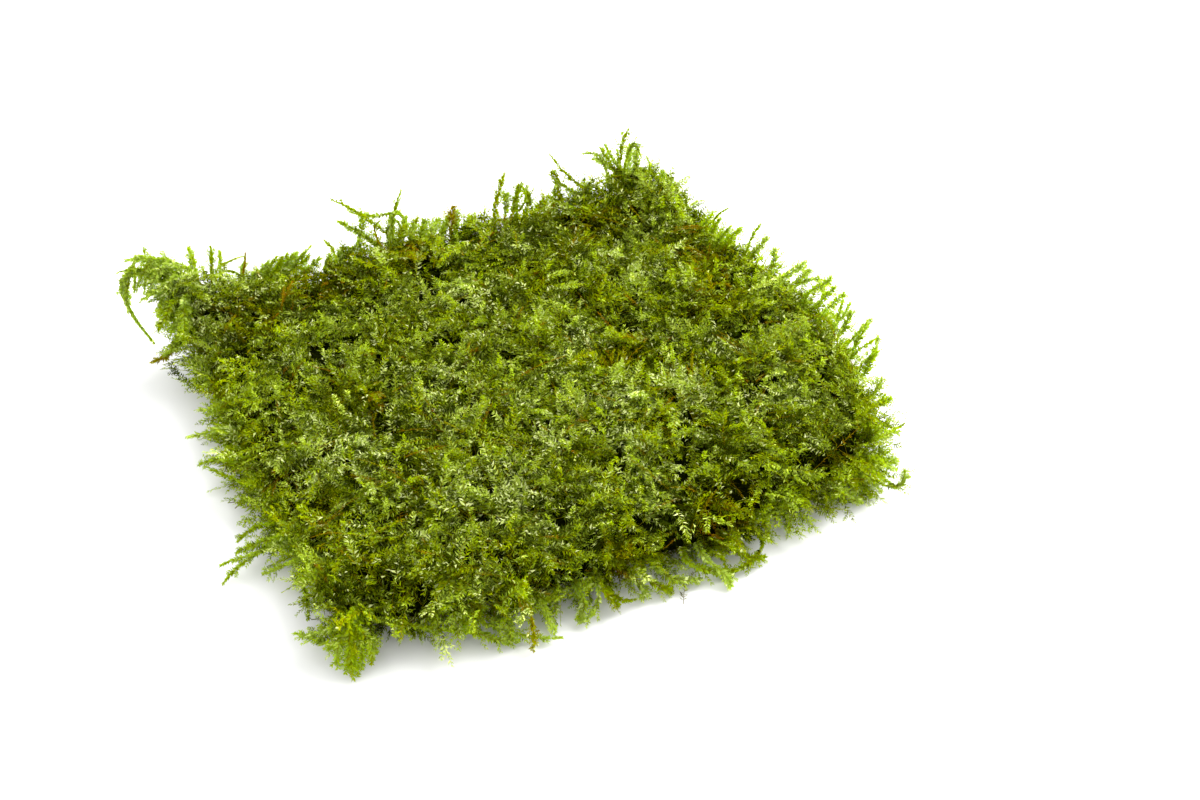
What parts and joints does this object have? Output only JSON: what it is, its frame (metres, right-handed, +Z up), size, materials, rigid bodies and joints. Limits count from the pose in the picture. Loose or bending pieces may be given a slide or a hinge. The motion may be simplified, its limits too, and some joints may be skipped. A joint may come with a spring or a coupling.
{
  "type": "moss clump",
  "caption": "Rectangular mat of tangled green feather moss, tufted all over, with a flat underside, ragged edges, one curled corner and stray leafy shoots.",
  "frame": {"origin": "on the surface that the mat rests on, under the middle of the mat's flat underside", "axes": "+Z up, +X along the mat's long side, +Y across the mat, from its front edge to its back edge"},
  "size_m": [0.1492, 0.1232, 0.034],
  "materials": {
    "matted_moss": "matt, mid to deep yellow-green, leafy, with pale silvery leaf tips and brown old stems below",
    "leafy_shoot": "bright yellow-green small leaves, thin enough for light to pass through, slight sheen",
    "brown_stem": "orange-brown stem with sparse small leaves"
  },
  "bodies": {
    "root": {"back_arch_long_shoot": "leafy_shoot", "back_arch_low_shoot": "leafy_shoot", "back_arch_upright_shoot": "leafy_shoot", "back_brown_shoot": "brown_stem", "back_curled_shoot": "leafy_shoot", "back_leaning_shoot": "leafy_shoot", "back_short_shoot": "leafy_shoot", "back_small_shoot": "leafy_shoot", "back_tall_shoot": "leafy_shoot", "corner_hanging_shoot": "brown_stem", "corner_hooked_stem": "leafy_shoot", "corner_red_stem": "brown_stem", "corner_shoot_left": "leafy_shoot", "corner_shoot_right": "leafy_shoot", "corner_tip_shoot": "leafy_shoot", "foot_shoot_left": "leafy_shoot", "foot_shoot_middle": "leafy_shoot", "foot_shoot_right": "leafy_shoot", "front_level_shoot": "leafy_shoot", "front_low_shoot": "leafy_shoot", "front_low_spur": "leafy_shoot", "front_middle_shoot": "leafy_shoot", "front_middle_tip": "leafy_shoot", "front_orange_stem": "brown_stem", "left_drooping_shoot": "leafy_shoot", "left_long_shoot": "leafy_shoot", "left_long_spur": "leafy_shoot", "left_lower_shoot": "leafy_shoot", "left_upper_shoot": "leafy_shoot", "moss_mat": "matted_moss", "peak_drooping_shoot": "leafy_shoot", "peak_shoot": "leafy_shoot", "right_bare_stem": "leafy_shoot", "right_corner_shoot": "leafy_shoot", "right_curled_stem": "leafy_shoot", "right_shoot_1": "leafy_shoot", "right_shoot_2": "leafy_shoot", "right_shoot_3": "leafy_shoot", "right_shoot_4": "leafy_shoot", "right_shoot_5": "leafy_shoot", "right_shoot_6": "leafy_shoot", "right_shoot_7": "leafy_shoot"}
  },
  "joints": []
}
